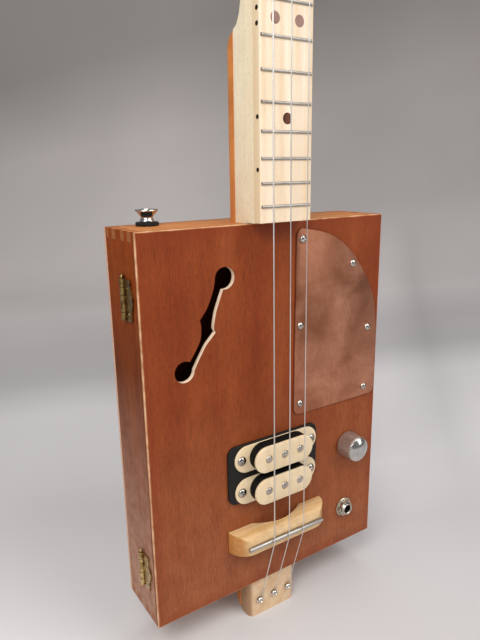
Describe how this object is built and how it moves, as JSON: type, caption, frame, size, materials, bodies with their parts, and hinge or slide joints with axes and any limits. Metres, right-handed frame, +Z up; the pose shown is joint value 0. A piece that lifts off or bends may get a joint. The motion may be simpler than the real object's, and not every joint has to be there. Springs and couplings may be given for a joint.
{
  "type": "cigar box guitar",
  "caption": "Box guitar with a through neck, fretted board, arched bridge, pickup, volume knob, worm tuning machines and a hinged wooden box.",
  "frame": {"origin": "centre of the outer face of the box's back panel", "axes": "+Z up the neck towards the tuning machines, -Y out of the playing side, +X towards the control knob and the output jack"},
  "size_m": [0.1926, 0.0628, 0.8563],
  "materials": {
    "veneer_front": "satin stained veneer over pale plywood",
    "cedar": "satin stained wood",
    "maple": "satin clear finish",
    "strip_wood": "satin clear finish",
    "bridge_wood": "sanded, oiled",
    "bone": "smooth",
    "steel": "plain",
    "chrome": "polished",
    "brass": "aged",
    "copper": "copper sheet, lightly brushed",
    "black_plastic": "matte",
    "cream_plastic": "semi-gloss",
    "black_tape": "cloth tape",
    "black_felt": "felt",
    "lead_cover": "insulated wire"
  },
  "bodies": {
    "guitar_frame": {"front_panel": "veneer_front", "front_wall_left": "cedar", "front_wall_right": "cedar", "front_wall_top_left": "cedar", "front_wall_top_right": "cedar", "front_wall_bottom_left": "cedar", "front_wall_bottom_right": "cedar", "hinge_front_leaf_lower": "brass", "hinge_front_leaf_upper": "brass", "neck": "maple", "heel_strip": "strip_wood", "fretboard": "maple", "nut": "bone", "string_low": "steel", "string_middle": "steel", "string_high": "steel", "tail_screw_low": "chrome", "tail_screw_middle": "chrome", "tail_screw_high": "chrome", "bridge": "bridge_wood", "saddle_rod": "chrome", "pickup_base": "black_plastic", "bobbin_bridge_side": "cream_plastic", "bobbin_neck_side": "cream_plastic", "coil_bridge_side": "black_tape", "coil_neck_side": "black_tape", "pickup_screw_bridge_side_left": "chrome", "pickup_screw_bridge_side_right": "chrome", "pickup_screw_neck_side_left": "chrome", "pickup_screw_neck_side_right": "chrome", "pickguard": "copper", "pot_body": "steel", "pot_nut": "chrome", "jack_body": "steel", "jack_contact": "brass", "jack_washer": "chrome", "jack_nut": "chrome", "pickup_lead": "lead_cover", "jack_lead": "lead_cover", "tuner_plate_low": "chrome", "tuner_plate_middle": "chrome", "tuner_plate_high": "chrome"},
    "tray": {"tray_wall_left": "cedar", "tray_wall_right": "cedar", "tray_wall_top": "cedar", "tray_wall_bottom": "cedar", "back_panel": "cedar", "hinge_tray_leaf_lower": "brass", "hinge_tray_leaf_upper": "brass", "strap_felt": "black_felt", "strap_button": "chrome", "strap_screw": "chrome"},
    "volume_knob": {"knob": "chrome", "pot_shaft": "steel"},
    "post_low": {"tuner_post_low": "steel"},
    "button_low": {"tuner_button_low": "chrome"},
    "post_middle": {"tuner_post_middle": "steel"},
    "button_middle": {"tuner_button_middle": "chrome"},
    "post_high": {"tuner_post_high": "steel"},
    "button_high": {"tuner_button_high": "chrome"}
  },
  "joints": [
    {"name": "tray_swing", "type": "hinge", "parent": "guitar_frame", "child": "tray", "pos_m": [-0.0964, -0.0287, 0], "axis": [0, 0, 1], "range_deg": [0, 175]},
    {"name": "volume_turn", "type": "hinge", "parent": "guitar_frame", "child": "volume_knob", "pos_m": [0.067, -0.046, -0.0428], "axis": [0, -1, 0], "range_deg": [-150, 150]},
    {"name": "button_turn_low", "type": "hinge", "parent": "guitar_frame", "child": "button_low", "pos_m": [-0.0095, -0.029, 0.5762], "axis": [-1, 0, 0], "continuous": true},
    {"name": "post_turn_low", "type": "hinge", "parent": "guitar_frame", "child": "post_low", "pos_m": [-0.0095, -0.046, 0.5848], "axis": [0, 1, 0], "continuous": true},
    {"name": "button_turn_high", "type": "hinge", "parent": "guitar_frame", "child": "button_high", "pos_m": [0.0095, -0.029, 0.6234], "axis": [1, 0, 0], "continuous": true},
    {"name": "post_turn_high", "type": "hinge", "parent": "guitar_frame", "child": "post_high", "pos_m": [0.0095, -0.046, 0.6148], "axis": [0, 1, 0], "continuous": true},
    {"name": "button_turn_middle", "type": "hinge", "parent": "guitar_frame", "child": "button_middle", "pos_m": [-0.0095, -0.029, 0.6362], "axis": [-1, 0, 0], "continuous": true},
    {"name": "post_turn_middle", "type": "hinge", "parent": "guitar_frame", "child": "post_middle", "pos_m": [-0.0095, -0.046, 0.6448], "axis": [0, 1, 0], "continuous": true}
  ],
  "couplings": [
    {"joint": "post_turn_low", "follows": "button_turn_low", "ratio": -0.066667},
    {"joint": "post_turn_high", "follows": "button_turn_high", "ratio": -0.066667},
    {"joint": "post_turn_middle", "follows": "button_turn_middle", "ratio": -0.066667}
  ]
}
